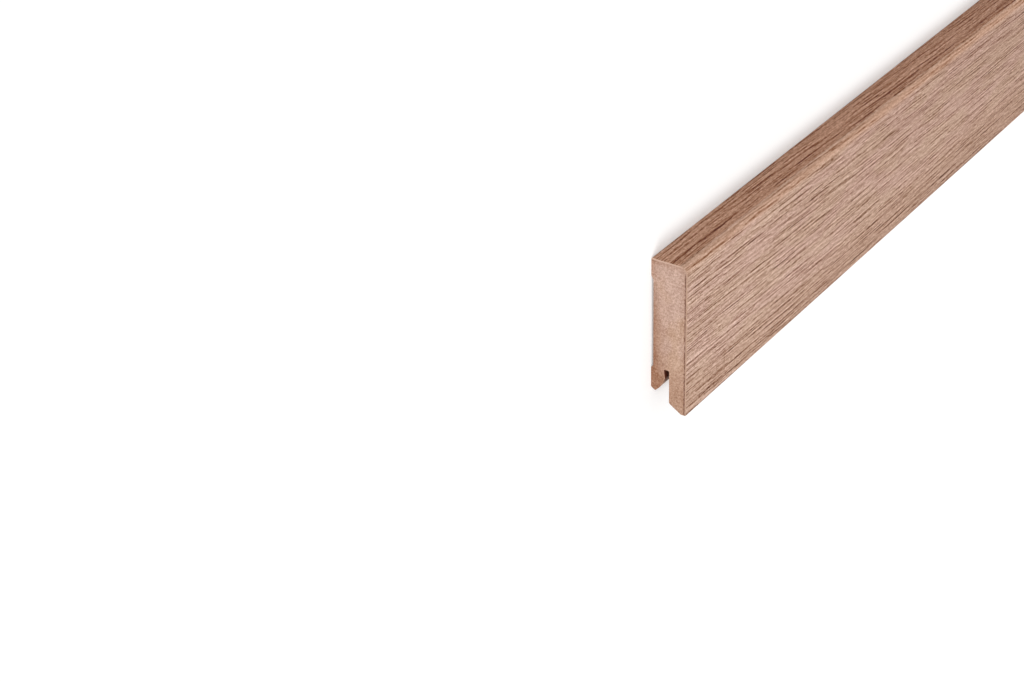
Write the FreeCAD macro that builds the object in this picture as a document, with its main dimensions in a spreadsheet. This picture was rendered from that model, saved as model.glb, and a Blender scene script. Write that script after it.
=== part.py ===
"""One length of wrapped skirting board, stored flat on its back as it lies on a floor.

A fibreboard core is moulded in one pass, and an oak veneer is wrapped over its top edge and its
face. The back is relieved between two lands, and a slot from the foot edge takes a wall clip.

The frame, in millimetres: X runs along the length and is centred on it, Y runs from the foot edge
to the top edge and is centred between them, and Z runs from the lands of the back, which are at 0,
out to the face.
"""
import FreeCAD, Part
import Sketcher
import os

# Driving sizes, each written once. Heights are measured from the foot edge, or down from the top
# edge where the name says so. Depths are measured from the lands of the back.
SIZES = {
    "board_length": 2400.0,
    "board_height": 58.0,
    "board_depth": 14.0,
    # The wrap, its rounded front top edge, and its two sanded arrises.
    "veneer_thickness": 0.6,
    "nose_radius": 3.0,
    "back_arris": 0.45,
    "foot_arris": 0.45,
    # The long front leg: its thickness behind the face, and the bevel under it.
    "front_leg": 6.8,
    "foot_flat": 2.05,
    "foot_bevel": 3.0,
    "heel_radius": 1.1,
    # The clip slot, a little wider at its roof than at its throat.
    "slot_height": 15.95,
    "slot_width": 2.1,
    "slot_corner_radius": 0.4,
    "throat_height": 12.6,
    "throat_width": 1.65,
    # The short back leg: its rounded flank and its tip.
    "flank_radius": 11.0,
    "tip_height": 6.5,
    "tip_depth": 1.6,
    "tip_bevel": 1.1,
    # The lands of the back, and the shallow relief between them.
    "lower_land": 7.8,
    "lower_step": 0.95,
    "upper_land": 6.7,
    "upper_step": 1.45,
    "relief_depth": 0.85,
}

# Each corner of a section is its place across the board (Y) and its place above the back (Z), in
# the names of the sheet.
FOOT = "-Sizes.board_height / 2"
TOP = "Sizes.board_height / 2"
CORE_TOP = TOP + " - Sizes.veneer_thickness"
CORE_FACE = "Sizes.board_depth - Sizes.veneer_thickness"
SLOT_FRONT = "Sizes.board_depth - Sizes.front_leg"
SLOT_ROOF = FOOT + " + Sizes.slot_height"
LOWER_LAND_START = FOOT + " + Sizes.tip_height + Sizes.tip_bevel"
LOWER_LAND_END = LOWER_LAND_START + " + Sizes.lower_land"
UPPER_LAND_START = TOP + " - Sizes.upper_land"

CORE_OUTLINE = {
    "back_top": (CORE_TOP, "0"),
    "nose": (CORE_TOP, CORE_FACE),
    "face_foot": (FOOT, CORE_FACE),
    "bevel_start": (FOOT, "Sizes.board_depth - Sizes.foot_flat"),
    "heel": (FOOT + " + Sizes.foot_bevel", SLOT_FRONT),
    "roof_front": (SLOT_ROOF, SLOT_FRONT),
    "roof_back": (SLOT_ROOF, SLOT_FRONT + " - Sizes.slot_width"),
    "throat": (FOOT + " + Sizes.throat_height", SLOT_FRONT + " - Sizes.throat_width"),
    "tip": (FOOT + " + Sizes.tip_height", "Sizes.tip_depth"),
    "lower_land_start": (LOWER_LAND_START, "0"),
    "lower_land_end": (LOWER_LAND_END, "0"),
    "relief_lower": (LOWER_LAND_END + " + Sizes.lower_step", "Sizes.relief_depth"),
    "relief_upper": (UPPER_LAND_START + " - Sizes.upper_step", "Sizes.relief_depth"),
    "upper_land_start": (UPPER_LAND_START, "0"),
}

WRAP_OUTLINE = {
    "back_inside": (CORE_TOP, "0"),
    "nose_inside": (CORE_TOP, CORE_FACE),
    "foot_inside": (FOOT, CORE_FACE),
    "foot_outside": (FOOT, "Sizes.board_depth"),
    "nose_outside": (TOP, "Sizes.board_depth"),
    "back_outside": (TOP, "0"),
}

# A sanded arris stays inside the thin wrap: it takes at most this share of the wrap's thickness.
ARRIS_LIMIT = "Sizes.veneer_thickness * 0.8"

# Two places nearer than this, in millimetres, are one place.
SAME_PLACE = 1e-4


def write_sheet(doc):
    """Put the driving sizes in the document's sheet, one named cell each."""
    sheet = doc.addObject("Spreadsheet::Sheet", "Sizes")
    for row, (name, value) in enumerate(SIZES.items(), start=1):
        sheet.set("A%d" % row, name)
        sheet.set("B%d" % row, str(value))
        sheet.setAlias("B%d" % row, name)
    doc.recompute()


def place_of(owner, corner):
    """The point in the section's plane that a corner's two names stand for now."""
    across, depth = (float(owner.evalExpression(text)) for text in corner)
    return FreeCAD.Vector(across, depth, 0)


def add_dimension(sketch, kind, where, value, label, text):
    """Add one named dimension to a sketch and tie it to the sheet."""
    index = sketch.addConstraint(Sketcher.Constraint(kind, *where, value))
    sketch.renameConstraint(index, label)
    sketch.setExpression("Constraints." + label, text)


def draw_section(body, name, outline, flank=None):
    """Draw a closed outline on the body's plane across the length, with every corner held.

    flank, if given, is the corner where a round flank starts, which ends at the next corner, and
    the name of its radius in the sheet.
    """
    plane = next(o for o in body.Origin.OriginFeatures if o.Role == "YZ_Plane")
    sketch = body.newObject("Sketcher::SketchObject", name)
    sketch.AttachmentSupport = [(plane, "")]
    sketch.MapMode = "FlatFace"
    names = list(outline)
    points = {corner: place_of(sketch, outline[corner]) for corner in names}
    following = dict(zip(names, names[1:] + names[:1]))
    start_of = {corner: (index, 1) for index, corner in enumerate(names)}
    end_of = {corner: (index, 2) for index, corner in enumerate(names)}
    flank_start, flank_radius = flank or (None, None)
    for corner in names:
        here, there = points[corner], points[following[corner]]
        if corner != flank_start:
            sketch.addGeometry(Part.LineSegment(here, there), False)
            continue
        arc = flank_arc(here, there, float(sketch.evalExpression(flank_radius)))
        sketch.addGeometry(arc, False)
        if arc.value(arc.FirstParameter).distanceToPoint(here) > SAME_PLACE:
            start_of[corner], end_of[corner] = end_of[corner], start_of[corner]
        add_dimension(
            sketch, "Radius", (names.index(corner),), arc.Radius, "flank_radius", flank_radius
        )
    for corner in names:
        joined = end_of[corner] + start_of[following[corner]]
        sketch.addConstraint(Sketcher.Constraint("Coincident", *joined))
    for corner, (across, depth) in outline.items():
        place, to_corner = points[corner], (-1, 1) + start_of[corner]
        add_dimension(sketch, "DistanceX", to_corner, place.x, corner + "_across", across)
        add_dimension(sketch, "DistanceY", to_corner, place.y, corner + "_depth", depth)
    return sketch


def flank_arc(start, end, radius):
    """The arc of the given radius from start to end that bulges to the right of that way."""
    chord = end - start
    half = chord.Length / 2
    right = FreeCAD.Vector(chord.y, -chord.x, 0).normalize()
    bulge = radius - (radius ** 2 - half ** 2) ** 0.5
    middle = (start + end) / 2 + right * bulge
    return Part.ArcOfCircle(start, middle, end)


def pad_section(doc, body, sketch, name):
    """Run a section along the whole length, half of it to each side of the middle."""
    pad = body.newObject("PartDesign::Pad", name)
    pad.Profile = sketch
    pad.SideType = "Symmetric"
    pad.setExpression("Length", "Sizes.board_length")
    doc.recompute()
    return pad


def round_edges(doc, body, name, base, corners, radius):
    """Round the long edges that stand at these corners of the section."""
    places = [place_of(base, corner) for corner in corners]
    length = float(base.evalExpression("Sizes.board_length"))
    edges = []
    for index, edge in enumerate(base.Shape.Edges, start=1):
        middle = FreeCAD.Vector(edge.CenterOfMass.y, edge.CenterOfMass.z, 0)
        runs_along = abs(edge.Length - length) < SAME_PLACE
        if runs_along and any(middle.distanceToPoint(place) < SAME_PLACE for place in places):
            edges.append("Edge%d" % index)
    if len(edges) != len(corners):
        raise RuntimeError("%s: %d of %d edges found" % (name, len(edges), len(corners)))
    fillet = body.newObject("PartDesign::Fillet", name)
    fillet.Base = (base, edges)
    fillet.setExpression("Radius", radius)
    doc.recompute()
    return fillet


def make_core(doc):
    """The moulded core: front leg, clip slot, back leg and the relieved back, in one piece."""
    body = doc.addObject("PartDesign::Body", "mdf_core")
    flank = ("throat", "Sizes.flank_radius")
    section = draw_section(body, "core_section", CORE_OUTLINE, flank)
    board = pad_section(doc, body, section, "core_length")
    nose = round_edges(
        doc, body, "core_nose", board, [CORE_OUTLINE["nose"]],
        "Sizes.nose_radius - Sizes.veneer_thickness",
    )
    roof = round_edges(
        doc, body, "slot_corners", nose,
        [CORE_OUTLINE["roof_front"], CORE_OUTLINE["roof_back"]], "Sizes.slot_corner_radius",
    )
    round_edges(doc, body, "heel_round", roof, [CORE_OUTLINE["heel"]], "Sizes.heel_radius")
    return body


def make_wrap(doc):
    """The oak veneer: one sheet glued over the top edge, round the nose and down the face."""
    body = doc.addObject("PartDesign::Body", "oak_veneer")
    section = draw_section(body, "wrap_section", WRAP_OUTLINE)
    sheet = pad_section(doc, body, section, "wrap_length")
    inside = round_edges(
        doc, body, "wrap_nose_inside", sheet, [WRAP_OUTLINE["nose_inside"]],
        "Sizes.nose_radius - Sizes.veneer_thickness",
    )
    outside = round_edges(
        doc, body, "wrap_nose", inside, [WRAP_OUTLINE["nose_outside"]], "Sizes.nose_radius"
    )
    back = round_edges(
        doc, body, "back_arris", outside, [WRAP_OUTLINE["back_outside"]],
        "min(Sizes.back_arris; %s)" % ARRIS_LIMIT,
    )
    round_edges(
        doc, body, "foot_arris", back, [WRAP_OUTLINE["foot_outside"]],
        "min(Sizes.foot_arris; %s)" % ARRIS_LIMIT,
    )
    return body


def check(doc, bodies):
    """Stop if any object of the document failed, or if a piece isn't one sound solid."""
    for item in doc.Objects:
        if "Invalid" in item.State or "Error" in item.State:
            raise RuntimeError("%s is %s" % (item.Label, ", ".join(item.State)))
    for body in bodies:
        shape = body.Shape
        if shape.isNull() or not shape.isValid() or len(shape.Solids) != 1:
            raise RuntimeError("%s isn't one sound solid" % body.Label)


def main():
    """Build both pieces, check them and write one file for each."""
    doc = FreeCAD.newDocument("SkirtingBoard")
    write_sheet(doc)
    bodies = [make_core(doc), make_wrap(doc)]
    doc.recompute()
    check(doc, bodies)
    os.makedirs("parts", exist_ok=True)
    for body in bodies:
        body.Label = body.Name
        body.Placement = FreeCAD.Placement()
        body.Shape.exportStep("parts/%s.step" % body.Label)
        box = body.Shape.BoundBox
        print(
            "%s: %.1f mm3, Y %.2f to %.2f, Z %.2f to %.2f"
            % (body.Label, body.Shape.Volume, box.YMin, box.YMax, box.ZMin, box.ZMax)
        )


main()
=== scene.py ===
"""One length of wrapped skirting board, dressed as it comes from the saw.

The board lies on its back on a pale floor. Its fibreboard core and its oak wrap are each one long
section, carried along the length by one geometry tree, and they take the place of the plain solids.
Each finish is a small class that builds its own material out of shared effects.

The frame, in metres: X runs along the length, Y from the foot edge to the rounded top edge, and Z
from the lands of the back, at 0, out to the face. Sizes and patterns are written in millimetres.
"""

import logging
import math
from dataclasses import dataclass
from enum import Enum
from functools import cached_property
from types import SimpleNamespace

import bpy
from mathutils import Matrix, Vector


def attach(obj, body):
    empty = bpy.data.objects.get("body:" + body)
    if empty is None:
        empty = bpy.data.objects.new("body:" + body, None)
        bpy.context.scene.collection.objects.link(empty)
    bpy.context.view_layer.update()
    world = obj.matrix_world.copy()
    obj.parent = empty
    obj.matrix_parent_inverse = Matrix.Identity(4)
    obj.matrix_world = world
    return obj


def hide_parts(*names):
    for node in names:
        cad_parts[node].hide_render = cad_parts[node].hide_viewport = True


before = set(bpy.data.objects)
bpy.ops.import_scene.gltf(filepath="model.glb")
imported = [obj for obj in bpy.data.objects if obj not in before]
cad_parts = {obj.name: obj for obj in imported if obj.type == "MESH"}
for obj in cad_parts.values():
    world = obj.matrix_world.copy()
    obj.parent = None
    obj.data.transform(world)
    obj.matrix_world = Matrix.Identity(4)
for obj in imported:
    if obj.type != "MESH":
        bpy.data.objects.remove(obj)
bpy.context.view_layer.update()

MM = 0.001
log = logging.getLogger("skirting_board")

Colour = tuple[int, int, int]
Point = tuple[float, float]
Place = tuple[float, float, float]

WHITE = (1.0, 1.0, 1.0, 1.0)


def linear(colour: Colour) -> tuple[float, ...]:
    """Turn a colour as it is seen on a screen into the values that a material works in.

    Args:
        colour: Red, green and blue, from 0 to 255.

    Returns:
        Linear red, green, blue and a full alpha.
    """
    shares = (channel / 255 for channel in colour)
    return *(
        share / 12.92 if share <= 0.04045 else ((share + 0.055) / 1.055) ** 2.4
        for share in shares
    ), 1.0


def add_object(name: str, data: bpy.types.ID) -> bpy.types.Object:
    """Put a new object in the scene.

    Args:
        name: Its name.
        data: Its mesh, light or camera.

    Returns:
        The object.
    """
    made = bpy.data.objects.new(name, data)
    bpy.context.scene.collection.objects.link(made)
    return made


# Sizes and outlines.


@dataclass(frozen=True)
class Corner:
    """One corner of a section, in millimetres.

    across runs from the foot edge to the top edge, and depth from the back out to the face. radius
    rounds the corner, and bow, if not 0, is the radius of the arc from here to the next corner.
    """

    across: float
    depth: float
    radius: float = 0.0
    bow: float = 0.0

    @property
    def place(self) -> Vector:
        """The corner's place in the plane of the section."""
        return Vector((self.across, self.depth))


class Outline:
    """A closed section outline made of corners, with its rounds cut into short straight steps."""

    ARC_STEP = math.radians(7.5)
    BOW_STEPS = 12

    def __init__(self, corners: list[Corner]) -> None:
        """Keep the corners, in order round the section."""
        self.corners = corners

    def points(self) -> list[Point]:
        """Walk once round the outline.

        Returns:
            The outline's points, anticlockwise with the face up.
        """
        walked: list[Point] = []
        corners = self._with_bows()
        for index, corner in enumerate(corners):
            before, after = corners[index - 1], corners[(index + 1) % len(corners)]
            walked += self._round(before, corner, after) if corner.radius else [
                (corner.across, corner.depth)
            ]
        twice_area = sum(
            a[0] * b[1] - b[0] * a[1] for a, b in zip(walked, walked[1:] + walked[:1])
        )
        return walked if twice_area > 0 else walked[::-1]

    def _with_bows(self) -> list[Corner]:
        """Put plain corners along each bowed side, which bulges to the right of its way.

        Returns:
            The corners with every bow cut into short straight steps.
        """
        spread: list[Corner] = []
        for corner, after in zip(self.corners, self.corners[1:] + self.corners[:1]):
            spread.append(corner)
            if not corner.bow:
                continue
            chord = after.place - corner.place
            right = Vector((chord.y, -chord.x)).normalized()
            rise = math.sqrt(corner.bow ** 2 - (chord.length / 2) ** 2)
            centre = (corner.place + after.place) / 2 - right * rise
            sweep = 2 * math.asin(chord.length / 2 / corner.bow)
            for step in range(1, self.BOW_STEPS):
                turn = Matrix.Rotation(sweep * step / self.BOW_STEPS, 2)
                spread.append(Corner(*(centre + turn @ (corner.place - centre))))
        return spread

    def _round(self, before: Corner, corner: Corner, after: Corner) -> list[Point]:
        """Round one corner between its two straight neighbours.

        Args:
            before: The corner before it.
            corner: The corner to round.
            after: The corner after it.

        Returns:
            The points of the round, in the outline's own order.
        """
        to_before = (before.place - corner.place).normalized()
        to_after = (after.place - corner.place).normalized()
        between = to_before.angle(to_after)
        reach = corner.radius / math.tan(between / 2)
        middle = (to_before + to_after).normalized()
        centre = corner.place + middle * (corner.radius / math.sin(between / 2))
        first = corner.place + to_before * reach - centre
        last = corner.place + to_after * reach - centre
        sweep = math.copysign(math.pi - between, first.cross(last))
        steps = max(2, math.ceil(abs(sweep) / self.ARC_STEP))
        return [
            tuple(centre + Matrix.Rotation(sweep * step / steps, 2) @ first)
            for step in range(steps + 1)
        ]


@dataclass(frozen=True)
class BoardSection:
    """The driving sizes of the board, in millimetres, with the corners that follow from them."""

    length: float = 2400.0
    height: float = 58.0
    depth: float = 14.0
    veneer: float = 0.6
    nose_radius: float = 3.0
    sanded_arris: float = 0.45
    cutter_arris: float = 0.15
    front_leg: float = 6.8
    foot_flat: float = 2.05
    foot_bevel: float = 3.0
    heel_radius: float = 1.1
    slot_height: float = 15.95
    slot_width: float = 2.1
    slot_corner: float = 0.4
    throat_height: float = 12.6
    throat_width: float = 1.65
    flank_radius: float = 11.0
    tip_height: float = 6.5
    tip_depth: float = 1.6
    tip_bevel: float = 1.1
    lower_land: float = 7.8
    lower_step: float = 0.95
    upper_land: float = 6.7
    upper_step: float = 1.45
    relief_depth: float = 0.85

    @property
    def foot(self) -> float:
        """The foot edge's place across the board."""
        return -self.height / 2

    @property
    def top(self) -> float:
        """The top edge's place across the board."""
        return self.height / 2

    @property
    def slot_front(self) -> float:
        """The place above the back of the slot's front side, which is the front leg's back."""
        return self.depth - self.front_leg

    @property
    def slot_roof(self) -> float:
        """The place across the board of the slot's roof."""
        return self.foot + self.slot_height

    @property
    def nose_across(self) -> float:
        """The place across the board of the middle of the nose's round."""
        return self.top - self.nose_radius

    @property
    def nose_depth(self) -> float:
        """The place above the back of the middle of the nose's round."""
        return self.depth - self.nose_radius

    @property
    def skin_width(self) -> float:
        """How far it is over the veneer, from the back arris round the nose to the foot."""
        return self.nose_depth + math.pi / 2 * self.nose_radius + self.nose_across - self.foot

    def glued(self) -> list[Corner]:
        """Where the core and the veneer meet.

        Returns:
            The corners, from the back over the top edge and down the face to the foot.
        """
        top, face = self.top - self.veneer, self.depth - self.veneer
        nose = Corner(top, face, self.nose_radius - self.veneer)
        return [Corner(top, 0), nose, Corner(self.foot, face)]

    def core(self) -> Outline:
        """Draw the moulded core, with its clip slot, its two legs and its relieved back.

        Returns:
            The outline of the fibreboard.
        """
        land_start = self.foot + self.tip_height + self.tip_bevel
        land_end = land_start + self.lower_land
        upper_start = self.top - self.upper_land
        eased = self.cutter_arris
        return Outline([
            *self.glued(),
            Corner(self.foot, self.depth - self.foot_flat, eased),
            Corner(self.foot + self.foot_bevel, self.slot_front, self.heel_radius),
            Corner(self.slot_roof, self.slot_front, self.slot_corner),
            Corner(self.slot_roof, self.slot_front - self.slot_width, self.slot_corner),
            Corner(
                self.foot + self.throat_height, self.slot_front - self.throat_width, eased,
                bow=self.flank_radius,
            ),
            Corner(self.foot + self.tip_height, self.tip_depth, eased),
            Corner(land_start, 0, eased),
            Corner(land_end, 0, eased),
            Corner(land_end + self.lower_step, self.relief_depth, eased),
            Corner(upper_start - self.upper_step, self.relief_depth, eased),
            Corner(upper_start, 0, eased),
        ])

    def wrap(self) -> Outline:
        """Draw the veneer, one sheet over the top edge, round the nose and down the face.

        Returns:
            The outline of the veneer.
        """
        return Outline([
            *self.glued(),
            Corner(self.foot, self.depth, self.sanded_arris),
            Corner(self.top, self.depth, self.nose_radius),
            Corner(self.top, 0, self.sanded_arris),
        ])


# Node trees.


class Signal:
    """A value that runs through a node tree. Arithmetic with it adds the nodes for it."""

    def __init__(self, graph: "Graph", socket: bpy.types.NodeSocket) -> None:
        """Wrap an output socket of the tree."""
        self.graph, self.socket = graph, socket

    def __add__(self, other: "Value") -> "Signal":
        """This value and the other one, added."""
        return self.graph.math("ADD", self, other)

    def __sub__(self, other: "Value") -> "Signal":
        """This value less the other one."""
        return self.graph.math("SUBTRACT", self, other)

    def __rsub__(self, other: "Value") -> "Signal":
        """The other value less this one."""
        return self.graph.math("SUBTRACT", other, self)

    def __mul__(self, other: "Value") -> "Signal":
        """This value times the other one."""
        return self.graph.math("MULTIPLY", self, other)

    def __truediv__(self, other: "Value") -> "Signal":
        """This value over the other one."""
        return self.graph.math("DIVIDE", self, other)

    __radd__ = __add__
    __rmul__ = __mul__


Value = Signal | float | tuple[float, ...]
Feeds = dict[str | int, Value]


class Graph:
    """One node tree and short calls for the nodes that this board's finishes and pieces use."""

    def __init__(self, tree: bpy.types.NodeTree) -> None:
        """Take a tree to add to."""
        self.tree = tree

    def node(self, kind: str, feeds: Feeds | None = None, **settings: object) -> bpy.types.Node:
        """Add a node, and link each of its inputs to a signal or write a plain value on it.

        Args:
            kind: The node's type name.
            feeds: What each input gets, by its name or its number.
            **settings: The node's own settings.

        Returns:
            The new node.
        """
        made = self.tree.nodes.new(kind)
        for name, value in settings.items():
            setattr(made, name, value)
        for name, value in (feeds or {}).items():
            if isinstance(value, Signal):
                self.tree.links.new(value.socket, made.inputs[name])
            else:
                made.inputs[name].default_value = value
        return made

    def run(self, kind: str, feeds: Feeds, out: str | int = 0, **settings: object) -> Signal:
        """Add a node, feed its inputs and take one of its outputs, by its name or its number."""
        return Signal(self, self.node(kind, feeds, **settings).outputs[out])

    def math(self, operation: str, *values: "Value") -> Signal:
        """Do one sum with these values."""
        return self.run("ShaderNodeMath", dict(enumerate(values)), operation=operation)

    def vector(self, x: "Value", y: "Value", z: "Value" = 0.0) -> Signal:
        """Join three values into a vector."""
        return self.run("ShaderNodeCombineXYZ", {"X": x, "Y": y, "Z": z})

    def split(self, vector: Signal) -> tuple[Signal, ...]:
        """Take a vector's three parts."""
        parts = self.node("ShaderNodeSeparateXYZ", {0: vector}).outputs
        return tuple(Signal(self, part) for part in parts)

    def noise(self, x: "Value", y: "Value", z: "Value | None" = None, detail: float = 0.0,
              roughness: float = 0.5) -> Signal:
        """Make smooth noise whose blots are about one unit wide.

        Args:
            x: The first coordinate.
            y: The second one.
            z: The third one, for noise that fills space.
            detail: How many finer octaves are added.
            roughness: How strong each finer octave is.

        Returns:
            The noise, from 0 to 1 around 0.5.
        """
        flat = z is None
        return self.run(
            "ShaderNodeTexNoise",
            {
                "Vector": self.vector(x, y, 0.0 if flat else z), "Scale": 1.0,
                "Detail": detail, "Roughness": roughness,
            },
            noise_dimensions="2D" if flat else "3D",
        )

    def cells(self, x: "Value", y: "Value") -> tuple[Signal, Signal, Signal]:
        """Cut the plane into uneven cells about one unit wide.

        Args:
            x: The first coordinate.
            y: The second one.

        Returns:
            The distance to the cell's middle, that middle, and three random parts for the cell.
        """
        made = self.node(
            "ShaderNodeTexVoronoi", {"Vector": self.vector(x, y), "Scale": 1.0},
            voronoi_dimensions="2D",
        )
        return tuple(
            Signal(self, made.outputs[name]) for name in ("Distance", "Position", "Color")
        )

    def step(self, value: "Value", low: "Value", high: "Value") -> Signal:
        """Rise smoothly from 0 at low to 1 at high, or fall where low is the higher one."""
        feeds = {"Value": value, "From Min": low, "From Max": high}
        return self.run("ShaderNodeMapRange", feeds, interpolation_type="SMOOTHSTEP")

    def between(self, share: "Value", low: "Value", high: "Value") -> Signal:
        """Go straight from low, where the share is 0, to high, where it is 1."""
        return self.run("ShaderNodeMapRange", {"Value": share, "To Min": low, "To Max": high})

    def mix(self, share: "Value", first: "Signal | Colour", second: "Signal | Colour",
            blend: str = "MIX") -> Signal:
        """Mix two colours.

        Args:
            share: How much of the second one, from 0 to 1.
            first: The first colour.
            second: The second colour.
            blend: How the second is laid over the first.

        Returns:
            The mixed colour.
        """
        first, second = (
            item if isinstance(item, Signal) else linear(item) for item in (first, second)
        )
        return self.run(
            "ShaderNodeMix", {0: share, 6: first, 7: second}, out=2,
            data_type="RGBA", blend_type=blend, clamp_factor=True,
        )

    def shade(self, colour: "Signal | Colour", level: "Value") -> Signal:
        """Multiply a colour by a level of grey."""
        return self.mix(1.0, colour, self.vector(level, level, level), "MULTIPLY")

    def dressed(self, geometry: Signal, finish: Signal) -> Signal:
        """Make a geometry's instances real and give it all one material."""
        solid = self.run("GeometryNodeRealizeInstances", {"Geometry": geometry})
        return self.run("GeometryNodeSetMaterial", {"Geometry": solid, "Material": finish})

    def bump(self, height: Signal, rise: float, under: Signal | None = None) -> Signal:
        """Turn a pattern that rises so many millimetres into a normal, over another one or not."""
        laid_over = {"Normal": under} if under else {}
        return self.run("ShaderNodeBump", {"Height": height, "Distance": rise * MM, **laid_over})


# Node groups.


class Group:
    """A node group with named inputs and outputs, whose inside a subclass draws."""

    name = "group"
    kind = "ShaderNodeTree"

    def draw(self, graph: Graph, given: SimpleNamespace) -> tuple[Signal, ...]:
        """Add the group's nodes to its own tree, and give its outputs in their order."""
        raise NotImplementedError

    def build(self, takes: dict[str, str], gives: dict[str, str]) -> bpy.types.NodeTree:
        """Build the group.

        Args:
            takes: The kind of each input, by its name.
            gives: The kind of each output, by its name.

        Returns:
            The group's tree.
        """
        tree = bpy.data.node_groups.new(self.name, self.kind)
        for way, sockets in (("INPUT", takes), ("OUTPUT", gives)):
            for name, kind in sockets.items():
                tree.interface.new_socket(name, in_out=way, socket_type="NodeSocket" + kind)
        graph = Graph(tree)
        entry = graph.node("NodeGroupInput").outputs
        given = SimpleNamespace(**{name: Signal(graph, entry[name]) for name in takes})
        graph.node("NodeGroupOutput", dict(zip(gives, self.draw(graph, given))))
        return tree


class Effect(Group):
    """A shader group that any finish places with its own values."""

    takes: tuple[str, ...] = ()
    gives: tuple[str, ...] = ()

    def place(self, graph: Graph, **values: Value) -> tuple[Signal, ...]:
        """Put the effect in a material. It is built the first time.

        Args:
            graph: The material's tree.
            **values: What the inputs get.

        Returns:
            The outputs, in the order of their names.
        """
        kinds = (
            {name: "Color" if name == "colour" else "Float" for name in names}
            for names in (self.takes, self.gives)
        )
        tree = bpy.data.node_groups.get(self.name) or self.build(*kinds)
        made = graph.node("ShaderNodeGroup", values, node_tree=tree)
        return tuple(Signal(graph, output) for output in made.outputs)


# Effects that the finishes share.


class BoardPlace(Effect):
    """Where a point is on the board and on its unrolled veneer, in millimetres."""

    name = "board_place"
    takes = ("nose_up", "nose_out", "nose_radius")
    gives = ("along", "up", "out", "over", "under")

    def draw(self, graph: Graph, given: SimpleNamespace) -> tuple[Signal, ...]:
        """Read the point's own place, and unroll the top edge, the nose and the face.

        Args:
            graph: The group's own tree.
            given: The middle of the nose's round and its radius.

        Returns:
            The place's three parts, and the distances over the veneer and under it.
        """
        place = graph.run("ShaderNodeTexCoord", {}, out="Object")
        along, up, out = (part * (1 / MM) for part in graph.split(place))
        rise, reach = up - given.nose_up, out - given.nose_out
        beyond_up, beyond_out = (graph.math("MAXIMUM", past, 0.0) for past in (rise, reach))
        over = (
            graph.math("MINIMUM", out, given.nose_out)
            + graph.math("ARCTAN2", beyond_out, beyond_up) * given.nose_radius
            + graph.math("MAXIMUM", rise * -1.0, 0.0)
        )
        corner = graph.math("SQRT", beyond_up * beyond_up + beyond_out * beyond_out)
        inner = graph.math("MINIMUM", graph.math("MAXIMUM", rise, reach), 0.0)
        return along, up, out, over, given.nose_radius - corner - inner


class Stripes(Effect):
    """Fine stripes along the grain, dark and pale by turns, from about -0.5 to 0.5.

    Their mean across the grain is even, so that they make no broad patches.
    """

    name = "stripes"
    takes = ("along", "across", "length", "width")
    gives = ("stripe",)

    def draw(self, graph: Graph, given: SimpleNamespace) -> tuple[Signal, ...]:
        """Take stretched noise from the same noise a little to the side."""
        run, side = given.along / given.length, given.across / given.width
        return (graph.noise(run, side) - graph.noise(run, side + 0.95),)


class GrainLines(Effect):
    """Thin separate lines along the grain, with tapered ends and a pale band at each side."""

    name = "grain_lines"
    takes = ("along", "across", "length", "spacing", "thickness", "share", "seed")
    gives = ("line", "beside")

    def draw(self, graph: Graph, given: SimpleNamespace) -> tuple[Signal, ...]:
        """Put one line in some of the cells of a pattern that is stretched along the grain.

        Args:
            graph: The group's own tree.
            given: The group's inputs.

        Returns:
            The lines and the bands beside them.
        """
        run = given.along / given.length + given.seed * 13.7
        side = given.across / given.spacing + given.seed * 7.9
        _, centre, lot = graph.cells(run, side)
        centre, lot = graph.split(centre), graph.split(lot)
        reach = (run - centre[0]) / graph.between(lot[1], 0.28, 0.62)
        fade = graph.step(reach * reach, 1.0, 0.25)
        away = graph.math("ABSOLUTE", side - centre[1]) * given.spacing
        half = given.thickness * graph.between(lot[2], 0.4, 0.75) * graph.between(fade, 0.4, 1.0)
        drawn = fade * graph.math("LESS_THAN", lot[0], given.share)
        line = graph.step(away, half * 1.4, half * 0.5)
        # band is a painted highlight at each side of a line, along its edges.
        band = graph.step(away, half, half * 2.0) * graph.step(away, half * 4.2, half * 2.4)
        return line * drawn, band * drawn


class Dashes(Effect):
    """Short separate dashes, such as open pores or wood fibres, as a mask."""

    name = "dashes"
    takes = ("along", "across", "angle", "length", "width", "seed", "share")
    gives = ("mask",)

    def draw(self, graph: Graph, given: SimpleNamespace) -> tuple[Signal, ...]:
        """Put one dash in some of the cells of a stretched and turned pattern.

        Args:
            graph: The group's own tree.
            given: The group's inputs.

        Returns:
            The mask.
        """
        sine, cosine = (graph.math(name, given.angle) for name in ("SINE", "COSINE"))
        run = given.along * cosine + given.across * sine
        side = given.across * cosine - given.along * sine
        away, _, lot = graph.cells(
            run / given.length + given.seed * 13.7, side / given.width + given.seed * 7.9
        )
        lot = graph.split(lot)
        size = graph.between(lot[1], 0.22, 0.48)
        dash = graph.step(away, size, size * 0.35)
        return (dash * graph.math("LESS_THAN", lot[0], given.share),)


class Speckle(Effect):
    """The fine mottle of pressed wood fibre, from 0 to 1 around 0.5."""

    name = "speckle"
    takes = ("along", "up", "out", "size", "contrast")
    gives = ("mottle",)

    def draw(self, graph: Graph, given: SimpleNamespace) -> tuple[Signal, ...]:
        """Fill space with noise of a few sizes and set its contrast."""
        place = (part / given.size for part in (given.along, given.up, given.out))
        return ((graph.noise(*place, detail=3.0, roughness=0.62) - 0.5) * given.contrast + 0.5,)


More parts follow.
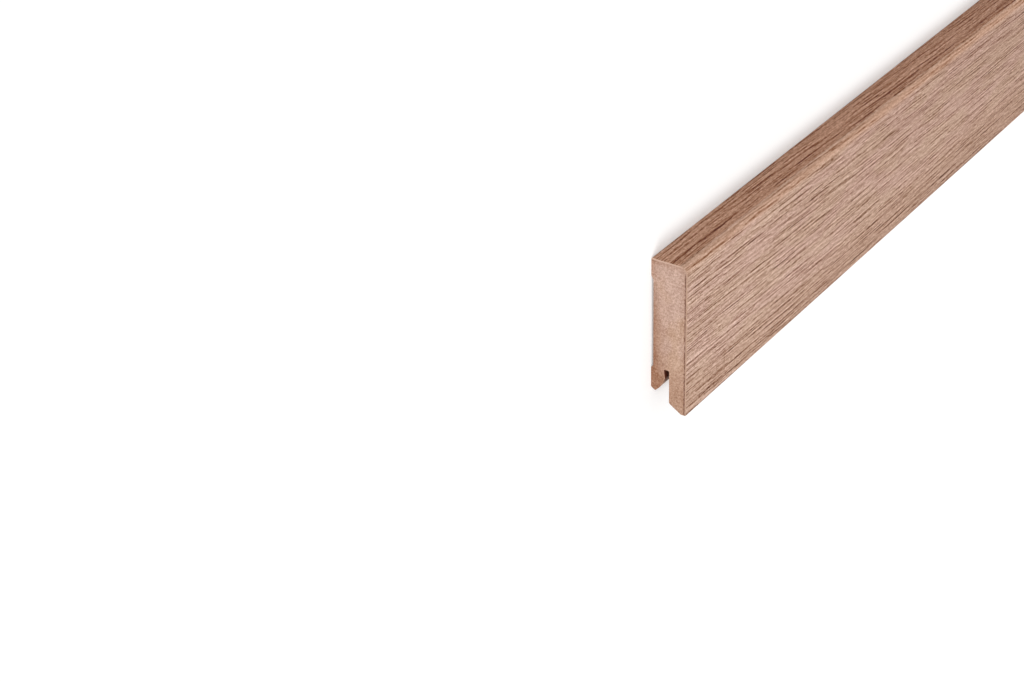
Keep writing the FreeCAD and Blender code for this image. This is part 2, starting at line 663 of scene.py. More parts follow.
class Tone(Effect):
    """Make a colour lighter or darker by one step that the eye sees as the same in each channel.

    A dark line drawn so stays as warm as the wood round it, and a pale one doesn't turn orange.
    """

    EVEN = 1.85

    name = "tone"
    takes = ("colour", "step")
    gives = ("colour",)

    def draw(self, graph: Graph, given: SimpleNamespace) -> tuple[Signal, ...]:
        """Go to even steps, add the step, and go back.

        Args:
            graph: The group's own tree.
            given: The group's inputs.

        Returns:
            The moved colour.
        """
        even = graph.run("ShaderNodeGamma", {"Color": given.colour, "Gamma": 1 / self.EVEN})
        moved = graph.run("ShaderNodeBrightContrast", {"Color": even, "Bright": given.step})
        return (graph.run("ShaderNodeGamma", {"Color": moved, "Gamma": self.EVEN}),)


class EdgeWear(Effect):
    """Where an arris is rubbed, as a broken mask that fades away from the edge."""

    name = "edge_wear"
    takes = ("away", "along", "reach")
    gives = ("mask",)

    def draw(self, graph: Graph, given: SimpleNamespace) -> tuple[Signal, ...]:
        """Fade with the distance from the edge and break the band up along it."""
        near = graph.step(graph.math("ABSOLUTE", given.away), given.reach, 0.0)
        return (near * graph.step(graph.noise(given.along / 11.0, 3.3, detail=2.0), 0.3, 0.62),)


BOARD_PLACE, STRIPES, GRAIN_LINES, DASHES, SPECKLE, TONE, EDGE_WEAR = (
    BoardPlace(), Stripes(), GrainLines(), Dashes(), Speckle(), Tone(), EdgeWear(),
)


class Surface(Graph):
    """The tree of a material, at the point that it paints.

    along, up and out are the point's place in millimetres: along the length, up the section from
    its middle, and out from the back. over is how far the point is over the veneer, from the back
    arris round the nose, and under is how deep it is under the veneer's surface.
    """

    def __init__(self, tree: bpy.types.NodeTree, section: BoardSection) -> None:
        """Take a material's tree and find the point's place.

        Args:
            tree: The material's tree.
            section: The board's sizes.
        """
        super().__init__(tree)
        self.along, self.up, self.out, self.over, self.under = BOARD_PLACE.place(
            self, nose_up=section.nose_across, nose_out=section.nose_depth,
            nose_radius=section.nose_radius,
        )

    @cached_property
    def on_face(self) -> Signal:
        """0 along the top edge and 1 down the face, with a smooth change round the nose."""
        return self.step(self.over, 13.5, 17.5)

    def mottle(self, size: float, contrast: float, stretch: float = 1.0) -> Signal:
        """The mottle of pressed fibre, of a size in millimetres and stretched along the board."""
        place = {"along": self.along / stretch, "up": self.up, "out": self.out}
        return SPECKLE.place(self, **place, size=size, contrast=contrast)[0]

    def ripple(self, run: Signal, pitch: float) -> Signal:
        """Even waves along a run, from 0 to 1, one for each pitch."""
        return self.math("SINE", run * (2 * math.pi / pitch)) * 0.5 + 0.5


# Finishes.


@dataclass(frozen=True)
class Finish:
    """The start of every material: a named material with its shader joined to its output."""

    section: BoardSection
    name: str = "finish"

    def paint(self, at: Surface) -> Feeds:
        """Add the finish's own nodes, and give what the surface shader's sockets get."""
        raise NotImplementedError

    def material(self) -> bpy.types.Material:
        """Build the material.

        Returns:
            The new material.
        """
        made = bpy.data.materials.new(self.name)
        made.use_nodes = True
        made.node_tree.nodes.clear()
        at = Surface(made.node_tree, self.section)
        shaded = at.run("ShaderNodeBsdfPrincipled", self.paint(at))
        at.node("ShaderNodeOutputMaterial", {"Surface": shaded})
        return made


@dataclass(frozen=True)
class Lines:
    """One lot of grain lines, in millimetres, with the share of its places that hold a line."""

    length: float
    spacing: float
    thickness: float
    share: float
    seed: float

    def draw(self, at: Surface, flow: Signal) -> tuple[Signal, ...]:
        """Let the lines follow the grain, and give them and the bands beside them."""
        return GRAIN_LINES.place(at, along=at.along, across=flow, **vars(self))


@dataclass(frozen=True)
class Grain:
    """How the wood lies at the point that is painted.

    flow is the place over the veneer, following the grain. wander is how far the darker wood of
    the top edge reaches, and reach is the place over the veneer seen from there. top is 1 in that
    wood and 0 on the face. bold is how strong the grain is.
    """

    flow: Signal
    wander: Signal
    reach: Signal
    top: Signal
    bold: Signal


@dataclass(frozen=True)
class OakFace(Finish):
    """Satin-lacquered oak: a calm ground, dark pore lines, pale lines, and painted highlights by
    the pores.

    slope is how far the grain runs off the board's own line, and drift and sway are how far it
    strays from that over a long and over a short way. Steps are steps of tone.
    """

    name: str = "oak_face"
    rosy: Colour = (187, 150, 132)
    sandy: Colour = (186, 151, 129)
    late: Colour = (183, 146, 123)
    top: Colour = (187, 138, 109)
    # The nose colour and the nose step paint a highlight band along the nose's round.
    nose: Colour = (189, 146, 120)
    worn: Colour = (224, 190, 169)
    pore_step: float = 0.44
    pale_step: float = 0.075
    nose_step: float = 0.058
    shade_step: float = 0.06
    slope: float = 0.012
    drift: float = 7.0
    sway: float = 0.5
    main_pores: Lines = Lines(32.0, 2.2, 0.45, 0.92, 1.0)
    fine_pores: Lines = Lines(16.0, 1.4, 0.38, 0.85, 2.0)
    long_pores: Lines = Lines(75.0, 5.0, 0.6, 0.55, 3.0)
    pale_lines: Lines = Lines(26.0, 2.6, 0.5, 0.55, 4.0)
    wear_reach: float = 0.7
    wear_share: float = 0.25

    def paint(self, at: Surface) -> Feeds:
        """Lay the hue, draw the grain on it in steps of tone, paint a nose highlight, dress the
        arrises.

        Args:
            at: The point that is painted.

        Returns:
            What the surface shader's sockets get.
        """
        grain = self._grain(at)
        # Painted highlight: a pale band along the nose's round, with the grain softened in it.
        nose = at.step(grain.reach, 11.3, 12.5) * at.step(grain.reach, 17.0, 13.6)
        shade = at.step(grain.reach, 6.6, 10.6) * grain.top
        dark, light = self._lines(at, grain)
        step = self._depth(at, grain)
        # light holds the pale grain lines and the painted highlight bands beside the pores.
        step = step + (light * self.pale_step - dark * self.pore_step) * grain.bold
        colour, = TONE.place(
            at, colour=at.mix(nose, self._hue(at, grain), self.nose),
            step=step * at.between(nose, 1.0, 0.75) + nose * self.nose_step
            - shade * self.shade_step,
        )
        return {
            "Base Color": at.mix(self._wear(at), colour, self.worn),
            "Roughness": at.between(dark, 0.44, 0.6),
            "Normal": at.bump(1.0 - dark, 0.04),
            "Specular IOR Level": 0.18,
        }

    def _grain(self, at: Surface) -> Grain:
        """Find how the wood lies.

        Args:
            at: The point that is painted.

        Returns:
            The grain there.
        """
        flow = (
            at.over - at.along * self.slope
            + (at.noise(at.along / 260.0, at.over / 70.0) - 0.5) * self.drift
            + (at.noise(at.along / 20.0, at.over / 5.0) - 0.5) * self.sway
        )
        wander = at.noise(at.along / 330.0 + 12.236, 6.1)
        ragged = at.noise(at.along / 60.0, 9.1, detail=2.0)
        reach = at.over + wander * 2.4 + ragged * 0.8 - 1.6
        bold = at.between(at.noise(at.along / 260.0 + 18.665, 2.7), 0.65, 0.96)
        return Grain(flow, wander, reach, at.step(reach, 12.2, 11.3), bold)

    def _hue(self, at: Surface, grain: Grain) -> Signal:
        """The wood's own colour, rosy or sandy in patches and redder towards the foot.

        Args:
            at: The point that is painted.
            grain: The grain there.

        Returns:
            The colour.
        """
        patch = at.step(at.noise(at.along / 30.0, grain.flow / 9.0, detail=1.0), 0.35, 0.65)
        edge = (at.noise(at.along / 300.0, 4.4) - 0.5) * 24.0
        foot = at.step(at.over + edge, 52.0, 66.0)
        face = at.mix(foot * 0.8, at.mix(patch, self.rosy, self.sandy), self.late)
        return at.mix(grain.top, face, self.top)

    def _depth(self, at: Surface, grain: Grain) -> Signal:
        """The wood's slow changes from light to dark and its fine threads and flecks.

        Args:
            at: The point that is painted.
            grain: The grain there.

        Returns:
            The step of tone.
        """
        along, flow = at.along, grain.flow
        layers = (
            (at.noise(along / 380.0, flow / 7.0, detail=1.0), 0.06),
            (at.noise(along / 520.0 + 3.7, flow / 45.0), 0.06),
            (grain.wander, 0.14),
            (at.noise(along / 2.3, flow / 0.5), at.between(grain.top, 0.18, 0.22)),
            (at.noise(along / 0.9, flow / 0.38), 0.24),
        )
        step = at.step(at.over, 46.0, 66.0) * -0.05 + 0.006
        for layer, strength in layers:
            step = step + (layer - 0.5) * strength
        striped: Value = 0.0
        for length, width, strength in ((80.0, 1.15, 0.12), (18.0, 1.0, 0.08), (5.0, 0.8, 0.13)):
            stripe, = STRIPES.place(at, along=along, across=flow, length=length, width=width)
            striped = stripe * strength + striped
        return step + striped * grain.bold * at.between(grain.top, 1.0, 0.85)

    def _lines(self, at: Surface, grain: Grain) -> tuple[Signal, Signal]:
        """The dark lines of pores, the painted highlight bands beside them and the few long deep
        ones.

        Args:
            at: The point that is painted.
            grain: The grain there.

        Returns:
            How dark and how pale the lines make the point.
        """
        crowd = at.step(at.noise(at.along / 45.0, grain.flow / 8.0), 0.3, 0.55)
        crowd = at.between(crowd, 0.82, 0.98)
        broken = at.between(at.noise(at.along / 2.4, grain.flow / 0.6), 0.1, 1.8)
        # The bands beside the pore lines are painted highlight.
        main, highlight_by_main = self.main_pores.draw(at, grain.flow)
        fine, highlight_by_fine = self.fine_pores.draw(at, grain.flow)
        deep, _ = self.long_pores.draw(at, grain.flow)
        pale, _ = self.pale_lines.draw(at, grain.flow)
        dark = (
            (main * crowd * 0.66 + fine * 0.45) * broken + deep * at.between(grain.top, 0.25, 0.46)
        )
        light = (
            (highlight_by_main * crowd * 0.8 + highlight_by_fine * 0.45) * broken
            + pale * at.between(grain.top, 0.3, 0.15)
        )
        return at.math("MINIMUM", dark, 1.0), at.math("MINIMUM", light, 1.0)

    def _wear(self, at: Surface) -> Signal:
        """How far the arrises at the back and at the foot are rubbed.

        Args:
            at: The point that is painted.

        Returns:
            How much of the bare wood's colour shows.
        """
        edges = ((at.over, at.along), (at.over - self.section.skin_width, at.along + 400.0))
        back, foot = (
            EDGE_WEAR.place(at, away=away, along=along, reach=self.wear_reach)[0]
            for away, along in edges
        )
        return (back + foot) * self.wear_share


@dataclass(frozen=True)
class VeneerEdge(Finish):
    """The veneer's sawn edge: pale end grain with its open pores, and the glue line inside it."""

    name: str = "veneer_sawn_edge"
    wood: Colour = (207, 174, 153)
    dark_wood: Colour = (168, 130, 107)
    pale: Colour = (226, 194, 176)
    glue: Colour = (116, 78, 58)

    def paint(self, at: Surface) -> Feeds:
        """Speckle the end grain and darken it towards the glue.

        Args:
            at: The point that is painted.

        Returns:
            What the surface shader's sockets get.
        """
        mottle = at.mottle(0.35, 1.6)
        pores, = DASHES.place(
            at, along=at.over, across=at.under, length=0.55, width=0.3, seed=21.0, share=0.4
        )
        colour = at.mix(pores * 0.5, at.mix(mottle, self.dark_wood, self.wood), self.glue)
        flat = at.step(at.over, 12.5, 10.0)
        colour = at.mix(flat * 0.35, colour, self.pale)
        ragged = (at.noise(at.over / 0.9, 2.2, detail=2.0) - 0.5) * 0.3
        glue = at.step(at.under + ragged, self.section.veneer - 0.2, self.section.veneer)
        glue = glue * at.between(at.on_face, 0.05, 0.75)
        return {
            "Base Color": at.mix(glue, colour, self.glue),
            "Roughness": 0.8,
            "Normal": at.bump(mottle, 0.04),
        }


@dataclass(frozen=True)
class SawnBoard(Finish):
    """Fibreboard as the saw leaves it: mottled, with loose fibres, saw arcs and the glue line.

    Each lot of fibres is the angle that they lie at and a seed. The saw's arcs are round a point
    far behind the back.
    """

    name: str = "fibreboard_sawn"
    rosy: Colour = (195, 163, 147)
    sandy: Colour = (194, 160, 138)
    # brown is painted shade towards the back and foot, partly the board's own colour, and the
    # glue's soak.
    brown: Colour = (157, 114, 89)
    glue: Colour = (92, 50, 32)
    pale_fibres: tuple[Point, ...] = ((0.55, 31.0), (-0.75, 32.0), (1.45, 33.0))
    dark_fibres: tuple[Point, ...] = ((0.1, 41.0), (1.0, 42.0), (-1.2, 43.0))
    saw_centre: Point = (35.0, -110.0)
    saw_pitch: float = 0.85

    def paint(self, at: Surface) -> Feeds:
        """Lay the mottle, the fibres and the saw's arcs, and draw the glue round the core.

        Args:
            at: The point that is painted.

        Returns:
            What the surface shader's sockets get.
        """
        patch = at.noise(at.up / 12.0, at.out / 7.0, at.along, detail=1.0) - at.up * 0.012
        colour = at.mix(at.step(patch, 0.35, 0.65), self.rosy, self.sandy)
        # Painted shade, partly the board's own colour: browner towards the back and the foot.
        colour = at.mix(self._browning(at), colour, self.brown)
        mottle = at.mottle(0.75, 1.0)
        cloud = at.noise(at.up / 4.0, at.out / 3.0, detail=1.0)
        pale, dark = (self._fibres(at, lots) for lots in (self.pale_fibres, self.dark_fibres))
        arcs = self._saw_arcs(at)
        colour, = TONE.place(at, colour=colour, step=(
            (mottle - 0.5) * 0.38 + (cloud - 0.5) * 0.1 + (arcs - 0.5) * 0.012
            + pale * 0.08 - dark * 0.1
        ))
        rough = at.bump(mottle * 0.6 + pale * 0.3 - dark * 0.3, 0.05)
        return {
            "Base Color": at.mix(self._glue_line(at), colour, self.glue),
            "Roughness": 0.88,
            "Specular IOR Level": 0.3,
            "Normal": at.bump(arcs, 0.015, under=rough),
        }

    def _fibres(self, at: Surface, lots: tuple[Point, ...]) -> Signal:
        """Scatter fibres that lie several ways.

        Args:
            at: The point that is painted.
            lots: The angle and the seed of each lot of fibres.

        Returns:
            The mask of them all.
        """
        found: Value = 0.0
        for angle, seed in lots:
            lot, = DASHES.place(
                at, along=at.up, across=at.out, angle=angle, length=1.7, width=0.24, seed=seed,
                share=0.3,
            )
            found = at.math("MAXIMUM", lot, found)
        return found

    def _browning(self, at: Surface) -> Signal:
        """How brown it is: painted shade towards back and foot, partly the board's own colour, and
        glue.

        Args:
            at: The point that is painted.

        Returns:
            How much of the brown shows.
        """
        cloud = (at.noise(at.up / 9.0, at.out / 6.0) - 0.5) * 5.0
        # back, edge and foot paint shade, partly the board's own colour; soaked is the glue near
        # the veneer.
        back = at.step(at.up + cloud, 24.0, -4.0) * at.step(at.out + cloud * 0.5, 10.0, -1.5)
        edge = at.step(at.out + cloud * 0.1, 4.0, 0.3)
        foot = at.step(at.up, -6.0, -19.0)
        soaked = at.step(at.under, 3.2, 0.7) * at.between(foot, 0.36, 0.1)
        return at.math("MINIMUM", back * 0.68 + edge * 0.38 + foot * 0.42 + soaked, 1.0)

    def _saw_arcs(self, at: Surface) -> Signal:
        """The faint arcs that the blade leaves, all round one far point.

        Args:
            at: The point that is painted.

        Returns:
            The ripple, from 0 to 1.
        """
        side, down = at.up - self.saw_centre[0], at.out - self.saw_centre[1]
        away = at.math("SQRT", side * side + down * down)
        return at.ripple(away + at.noise(at.up / 6.0, at.out / 6.0) * 0.8, self.saw_pitch)

    def _glue_line(self, at: Surface) -> Signal:
        """The brown line just inside the veneer, broken into darker dots.

        Args:
            at: The point that is painted.

        Returns:
            How much of the glue's colour shows.
        """
        ragged = at.noise(at.over / 0.7, 5.5, detail=2.0, roughness=0.7)
        width = at.between(ragged, 0.15, 0.95)
        line = at.step(at.under - self.section.veneer, width, width * 0.4)
        strength = at.step(at.noise(at.over / 1.3, 8.8, detail=1.0), 0.3, 0.65)
        return line * at.between(strength, 0.35, 0.85) * at.between(at.on_face, 0.12, 1.0)


@dataclass(frozen=True)
class MouldedBoard(Finish):
    """Fibreboard as the cutters leave it: smoother and browner, with faint lines and ripples.

    The inside of the clip slot gets painted shade, darkest near the roof and fading out below it.
    """

    name: str = "fibreboard_moulded"
    ground: Colour = (184, 149, 126)
    deep: Colour = (160, 125, 102)
    pale_fibre: Colour = (208, 178, 156)
    # The colour of the painted shade inside the clip slot.
    browned: Colour = (90, 34, 8)
    browned_from: float = 6.5
    browned_fully: float = 3.0
    knife_pitch: float = 1.6

    def paint(self, at: Surface) -> Feeds:
        """Lay the mottle, the cutters' long lines and the ripples of their knives.

        Args:
            at: The point that is painted.

        Returns:
            What the surface shader's sockets get.
        """
        side = at.up + at.out * 0.83
        mottle = at.mottle(0.6, 1.3, stretch=1.6)
        patch = at.noise(at.along / 90.0, side / 18.0, detail=2.0)
        colour = at.mix(at.step(patch, 0.3, 0.7) * 0.5, self.ground, self.deep)
        colour = at.shade(colour, at.between(mottle, 0.88, 1.12))
        lines = at.step(at.noise(at.along / 140.0 + 882.81, side / 0.35 + 294.27), 0.5, 0.3)
        colour = at.mix(lines * 0.25, colour, self.deep)
        fibres, = DASHES.place(
            at, along=at.along, across=side, angle=0.12, length=2.0, width=0.18, seed=52.0,
            share=0.3,
        )
        colour = at.mix(fibres * 0.22, colour, self.pale_fibre)
        rough = at.bump(mottle * 0.5 - lines * 0.5, 0.03)
        return {
            # Painted shade inside the clip slot, darkest near its roof.
            "Base Color": at.mix(self._in_slot(at) * 0.95, colour, self.browned),
            "Roughness": at.between(mottle, 0.62, 0.78),
            "Specular IOR Level": 0.3,
            "Normal": at.bump(at.ripple(at.along, self.knife_pitch), 0.004, under=rough),
        }

    def _in_slot(self, at: Surface) -> Signal:
        """How much painted shade a point gets inside the clip slot.

        Args:
            at: The point that is painted.

        Returns:
            0 outside the slot, 1 at its roof.
        """
        roof, front = self.section.slot_roof, self.section.slot_front
        deep = at.step(at.up, roof - self.browned_from, roof - self.browned_fully)
        inside = (
            at.math("LESS_THAN", at.up, roof + 0.1)
            * at.math("LESS_THAN", at.out, front + 0.1)
            * at.math("GREATER_THAN", at.out, front - self.section.slot_width - 0.4)
        )
        return deep * inside


@dataclass(frozen=True)
class LooseFibre(Finish):
    """The pale torn fibres that stand on the sawn edge."""

    name: str = "loose_fibre"
    pale: Colour = (222, 193, 172)
    brown: Colour = (168, 130, 107)

    def paint(self, at: Surface) -> Feeds:
        """Give each fibre a shade of its own.

        Args:
            at: The point that is painted.

        Returns:
            What the surface shader's sockets get.
        """
        shade = at.mottle(1.4, 1.8)
        return {
            "Base Color": at.mix(shade, self.brown, self.pale),
            "Roughness": at.between(shade, 0.7, 0.9),
        }


@dataclass(frozen=True)
class FloorPaint(Finish):
    """The pale floor, lifted to white for the eye alone, so that the board's shadow stays."""

    name: str = "pale_floor"
    ground: Colour = (231, 231, 231)
    lift: float = 0.26

    def paint(self, at: Surface) -> Feeds:
        """Cloud the paint a little and add the lift where the floor is seen.

        Args:
            at: The point that is painted.

        Returns:
            What the surface shader's sockets get.
        """
        cloud = at.noise(at.along / 900.0, at.up / 900.0, detail=2.0)
        return {
            "Base Color": at.shade(self.ground, at.between(cloud, 0.99, 1.01)),
            "Roughness": 0.9,
            "Specular IOR Level": 0.2,
            "Emission Color": WHITE,
            "Emission Strength": seen(at) * self.lift,
        }


def seen(graph: Graph) -> Signal:
    """Tell the rays that the eye, a gloss or a clear thing sends from those that carry light.

    Args:
        graph: The tree of a material or of the world.

    Returns:
        1 for a ray that is seen, else 0.
    """
    path = graph.node("ShaderNodeLightPath").outputs
    camera, gloss, clear = (
        Signal(graph, path[name])
        for name in ("Is Camera Ray", "Is Glossy Ray", "Is Transmission Ray")
    )
    return graph.math("MAXIMUM", camera, graph.math("MAXIMUM", gloss, clear))


# Geometry trees.


class GeometryTree(Group):
    """A tree of geometry nodes with named inputs, run once on a mesh to make a plain mesh."""

    kind = "GeometryNodeTree"
    inputs: dict[str, str] = {}

    def __init__(self) -> None:
        """Build the tree."""
        geometry = {"geometry": "Geometry"}
        self.tree = self.build(geometry | self.inputs, geometry)

    def make(self, name: str, mesh: bpy.types.Mesh, **values: object) -> bpy.types.Object:
        """Run the tree on a mesh and keep what comes out as a plain mesh.

        Args:
            name: The new piece's name.
            mesh: What the tree starts from.
            **values: The tree's inputs.

        Returns:
            The piece, with no modifier on it.
        """
        piece = add_object(name, mesh)
        modifier = piece.modifiers.new(self.name, "NODES")
        modifier.node_group = self.tree
        for socket in self.tree.interface.items_tree:
            if socket.name in values:
                modifier[socket.identifier] = values[socket.name]
        depsgraph = bpy.context.evaluated_depsgraph_get()
        made = bpy.data.meshes.new_from_object(
            piece.evaluated_get(depsgraph), preserve_all_data_layers=True, depsgraph=depsgraph
        )
        piece.modifiers.clear()
        piece.data = made
        made.name = name
        bpy.data.meshes.remove(mesh)
        return piece


class LengthSweep(GeometryTree):
    """Carries a section along the board and closes both sawn ends.

    A section's x and y lie along the board's -Y and -Z once it is carried.
    """

    name = "length_sweep"
    inputs = {
        "length": "Float", "steps": "Int", "long_finish": "Material", "sawn_finish": "Material",
    }

    def draw(self, graph: Graph, given: SimpleNamespace) -> tuple[Signal, ...]:
        """Sweep the outline along a straight path and tell its ends from its sides.

        Args:
            graph: The tree.
            given: Its inputs.

        Returns:
            The closed piece, with a finish on its ends and one on the rest.
        """
        half = given.length * 0.5
        path = graph.run("GeometryNodeCurvePrimitiveLine", {
            "Start": graph.vector(half * -1.0, 0.0), "End": graph.vector(half, 0.0),
        })
        path = graph.run("GeometryNodeResampleCurve", {"Curve": path, "Count": given.steps + 1.0})
        outline = graph.run("GeometryNodeMeshToCurve", {"Mesh": given.geometry})
        swept = graph.run("GeometryNodeCurveToMesh", {
            "Curve": path, "Profile Curve": outline, "Fill Caps": True,
        })
        normal = graph.run("GeometryNodeInputNormal", {}, out="True Normal")
        faces_end = graph.math("ABSOLUTE", graph.split(normal)[0])
        is_end = graph.math("GREATER_THAN", faces_end, 0.9)
        return (graph.run("GeometryNodeSetMaterial", {
            "Geometry": graph.dressed(swept, given.long_finish), "Selection": is_end,
            "Material": given.sawn_finish,
        }),)


class FibreFringe(GeometryTree):
    """Stands torn fibres along a line, each with a length and a lean of its own."""

    name = "fibre_fringe"
    inputs = {
        "count": "Int", "fibre_length": "Float", "fibre_width": "Float", "scatter": "Float",
        "lift": "Float", "seed": "Int", "fibre_finish": "Material",
    }

    def draw(self, graph: Graph, given: SimpleNamespace) -> tuple[Signal, ...]:
        """Set a thin pointed fibre on each point of the line, away from the cut.

        Args:
            graph: The tree.
            given: Its inputs.

        Returns:
            The fibres.
        """
        def lot(draw: float, low: Place, high: Place) -> Signal:
            """Draw a random vector for each fibre, another one for each draw's number."""
            feeds = {0: low, 1: high, "Seed": given.seed + draw}
            return graph.run("FunctionNodeRandomValue", feeds, data_type="FLOAT_VECTOR")

        line = graph.run("GeometryNodeMeshToCurve", {"Mesh": given.geometry})
        points = graph.run("GeometryNodeCurveToPoints", {"Curve": line, "Count": given.count})
        shift = graph.run("ShaderNodeVectorMath", {
            0: lot(0.0, (0.0, -1.0, -1.0), (0.0, 1.0, 1.0)), "Scale": given.scatter,
        }, operation="SCALE")
        points = graph.run("GeometryNodeSetPosition", {"Geometry": points, "Offset": shift})
        fibre = graph.run("GeometryNodeMeshCone", {
            "Vertices": 3, "Radius Bottom": given.fibre_width, "Depth": given.fibre_length,
        })
        end = graph.split(graph.run("GeometryNodeInputPosition", {}))[0]
        lean = graph.split(lot(1.0, (0.0, -1.0, -1.0), (1.0, 1.0, 1.0)))
        outward = graph.math("SIGN", end) * (lean[0] * given.lift)
        turn = graph.run("FunctionNodeAlignRotationToVector", {
            "Vector": graph.vector(outward, lean[1], lean[2]),
        }, axis="Z")
        size = graph.split(lot(2.0, (0.35, 0.6, 0.0), (1.0, 1.0, 0.0)))
        placed = graph.run("GeometryNodeInstanceOnPoints", {
            "Points": points, "Instance": fibre, "Rotation": turn,
            "Scale": graph.vector(size[1], size[1], size[0]),
        })
        return (graph.dressed(placed, given.fibre_finish),)


# The board.


class Slot(Enum):
    """The record's material slots."""

    FIBREBOARD = "fibreboard"
    OAK = "oak_veneer"


def wire(name: str, runs: list[list[Place]], closed: bool) -> bpy.types.Mesh:
    """Make a mesh of plain edges.

    Args:
        name: The mesh's name.
        runs: The points of each run of edges, in metres.
        closed: Whether each run comes back to its start.

    Returns:
        The mesh.
    """
    places: list[Place] = []
    edges: list[tuple[int, int]] = []
    for run in runs:
        first = len(places)
        places += run
        last = first + len(run) - 1
        edges += [(index, index + 1) for index in range(first, last)]
        edges += [(last, first)] if closed else []
    mesh = bpy.data.meshes.new(name + "_wire")
    mesh.from_pydata(places, edges, [])
    return mesh


@dataclass
class LongPiece:
    """A piece of the board that has one section over the whole length.

    finishes are that of the long sides and that of the sawn ends.
    """

    section: BoardSection
    name: str
    node: str
    slot: Slot
    finishes: tuple[type[Finish], type[Finish]]
    steps: int = 48
    smooth_below: float = math.radians(28)

    def outline(self) -> Outline:
        """The piece's section."""
        raise NotImplementedError

    def build(self, sweep: LengthSweep) -> bpy.types.Object:
        """Make the piece, dress it and put it in the frame.

        Args:
            sweep: The tree that carries a section along the board.

        Returns:
            The finished piece.
        """
        drawn = [(-across * MM, -depth * MM, 0.0) for across, depth in self.outline().points()]
        long_finish, sawn_finish = (
            finish(self.section).material() for finish in self.finishes
        )
        piece = sweep.make(
            self.name, wire(self.name, [drawn], closed=True), length=self.section.length * MM,
            steps=self.steps, long_finish=long_finish, sawn_finish=sawn_finish,
        )
        piece.data.shade_smooth()
        piece.data.set_sharp_from_angle(angle=self.smooth_below)
        place_in_frame(piece, self.slot, self.node)
        return piece


@dataclass
class FibreboardCore(LongPiece):
    """The moulded core, with its clip slot, its two legs and its relieved back."""

    name: str = "moulded_core"
    node: str = "mdf_core"
    slot: Slot = Slot.FIBREBOARD
    finishes: tuple[type[Finish], type[Finish]] = (MouldedBoard, SawnBoard)

    def outline(self) -> Outline:
        """The core's section."""
        return self.section.core()


@dataclass
class OakWrap(LongPiece):
    """The veneer over the top edge, the nose and the face."""

    name: str = "oak_wrap"
    node: str = "oak_veneer"
    slot: Slot = Slot.OAK
    finishes: tuple[type[Finish], type[Finish]] = (OakFace, VeneerEdge)

    def outline(self) -> Outline:
        """The veneer's section."""
        return self.section.wrap()


@dataclass
class SawnFringe:
    """The torn fibres along the veneer's edge at both sawn ends."""

    section: BoardSection
    name: str = "sawn_edge_fibres"
    count: int = 46
    fibre_length: float = 0.85
    fibre_width: float = 0.05
    scatter: float = 0.22
    lift: float = 0.55
    seed: int = 12
    end_gap: float = 0.6
    nose_steps: int = 8

    def line(self) -> list[Point]:
        """Walk along the middle of the veneer's sawn edge.

        Returns:
            The points, from the back arris round the nose to the foot.
        """
        section, half = self.section, self.section.veneer / 2
        radius = section.nose_radius - half
        turns = [math.pi / 2 * step / self.nose_steps for step in range(self.nose_steps + 1)]
        nose = [
            (section.nose_across + radius * math.cos(turn),
             section.nose_depth + radius * math.sin(turn))
            for turn in turns
        ]
        start = (section.top - half, self.end_gap)
        return [start, *nose, (section.foot + self.end_gap, section.depth - half)]

    def build(self, fringe: FibreFringe) -> bpy.types.Object:
        """Stand the fibres on both ends.

        Args:
            fringe: The tree that stands fibres along a line.

        Returns:
            The finished piece.
        """
        half = self.section.length / 2
        runs = [
            [(end * half * MM, across * MM, depth * MM) for across, depth in self.line()]
            for end in (-1, 1)
        ]
        piece = fringe.make(
            self.name, wire(self.name, runs, closed=False),
            count=self.count, fibre_length=self.fibre_length * MM,
            fibre_width=self.fibre_width * MM, scatter=self.scatter * MM, lift=self.lift,
            seed=self.seed, fibre_finish=LooseFibre(self.section).material(),
        )
        place_in_frame(piece, Slot.OAK)
        return piece


def place_in_frame(piece: bpy.types.Object, slot: Slot, node: str | None = None) -> None:
    """Let a finished piece ride with the board, hide the solid it stands for, and log its slot.

    Args:
        piece: The finished piece.
        slot: The record's material slot.
        node: The solid that the piece takes the place of, if any.
    """
    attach(piece, "root")
    if node:
        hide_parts(node)
    log.info(
        "%s: %d faces, slot %s%s", piece.name, len(piece.data.polygons), slot.value,
        ", in place of " + node if node else "",
    )


# The studio.


@dataclass(frozen=True)
class Lamp:
    """A soft lamp far away, with its spread in degrees."""

    name: str
    comes_from: Place
    strength: float
    spread: float


@dataclass(frozen=True)
class Viewpoint:
    """Where the camera stands and how it is held, in the board's frame and in metres."""

    place: Place = (-1.74655, 0.38299, 0.33456)
    ahead: Place = (0.69595, -0.51540, -0.50001)
    up: Place = (0.43873, 0.85642, -0.27213)
    lens: float = 77.33
    sensor: float = 36.0
    nearest: float = 0.01
    farthest: float = 200.0


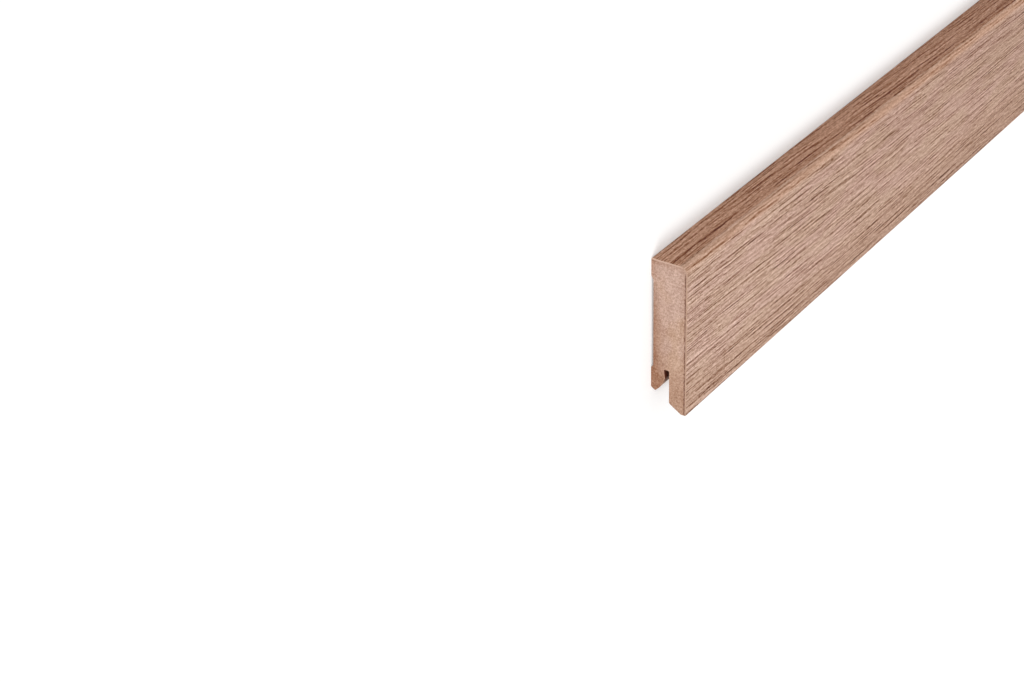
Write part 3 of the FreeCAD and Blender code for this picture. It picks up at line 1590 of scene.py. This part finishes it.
@dataclass
class Studio:
    """The floor, the lamps, the white surroundings and the camera."""

    section: BoardSection
    floor_side: float = 80.0
    sky: float = 0.55
    lamp_distance: float = 5.0
    view: Viewpoint = Viewpoint()
    lamps: tuple[Lamp, ...] = (
        Lamp("key_lamp", (-0.40, -0.30, 0.86), 1.25, 25.0),
        Lamp("fill_lamp", (-0.90, 0.10, 0.40), 0.85, 40.0),
    )

    def build(self) -> None:
        """Set up everything round the board."""
        self._lay_floor()
        for lamp in self.lamps:
            self._hang(lamp)
        self._surround()
        self._stand_camera()
        bpy.context.scene.view_settings.view_transform = "Standard"

    def _lay_floor(self) -> None:
        """Lay the floor under the board's lands."""
        half = self.floor_side / 2
        corners = [(-half, -half, 0.0), (half, -half, 0.0), (half, half, 0.0), (-half, half, 0.0)]
        mesh = bpy.data.meshes.new("floor")
        mesh.from_pydata(corners, [], [(0, 1, 2, 3)])
        mesh.materials.append(FloorPaint(self.section).material())
        add_object("floor", mesh)
        log.info("floor: %.0f m square", self.floor_side)

    def _hang(self, lamp: Lamp) -> None:
        """Hang one lamp.

        Args:
            lamp: The lamp's place, strength and spread.
        """
        light = bpy.data.lights.new(lamp.name, "SUN")
        light.energy = lamp.strength
        light.angle = math.radians(lamp.spread)
        hung = add_object(lamp.name, light)
        toward = Vector(lamp.comes_from).normalized()
        hung.rotation_euler = toward.to_track_quat("Z", "Y").to_euler()
        hung.location = toward * self.lamp_distance
        log.info("%s: strength %.2f", lamp.name, lamp.strength)

    def _surround(self) -> None:
        """Light the board evenly from all round, and show white where nothing else is."""
        world = bpy.context.scene.world = bpy.data.worlds.new("studio_white")
        world.use_nodes = True
        world.node_tree.nodes.clear()
        graph = Graph(world.node_tree)
        strength = graph.between(seen(graph), self.sky, 1.0)
        light = graph.run("ShaderNodeBackground", {"Color": WHITE, "Strength": strength})
        graph.node("ShaderNodeOutputWorld", {"Surface": light})
        log.info("surroundings: strength %.2f", self.sky)

    def _stand_camera(self) -> None:
        """Stand the camera where the photograph was taken from."""
        camera, view = bpy.data.cameras.new("camera"), self.view
        camera.sensor_fit = "HORIZONTAL"
        camera.sensor_width, camera.lens = view.sensor, view.lens
        camera.clip_start, camera.clip_end = view.nearest, view.farthest
        stood = add_object("camera", camera)
        back = -Vector(view.ahead).normalized()
        right = Vector(view.up).cross(back).normalized()
        turned = Matrix((right, back.cross(right), back)).transposed().to_4x4()
        stood.matrix_world = Matrix.Translation(view.place) @ turned
        bpy.context.scene.camera = stood
        log.info("camera: lens %.2f mm", view.lens)


def write_sizes() -> None:
    """Update the view layer."""
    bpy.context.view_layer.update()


def main() -> None:
    """Build the board and its surroundings, piece by piece."""
    logging.basicConfig(level=logging.INFO, format="%(name)s: %(message)s")
    section = BoardSection()
    sweep = LengthSweep()
    FibreboardCore(section).build(sweep)
    OakWrap(section).build(sweep)
    SawnFringe(section).build(FibreFringe())
    Studio(section).build()
    write_sizes()


if __name__ == "__main__":
    main()
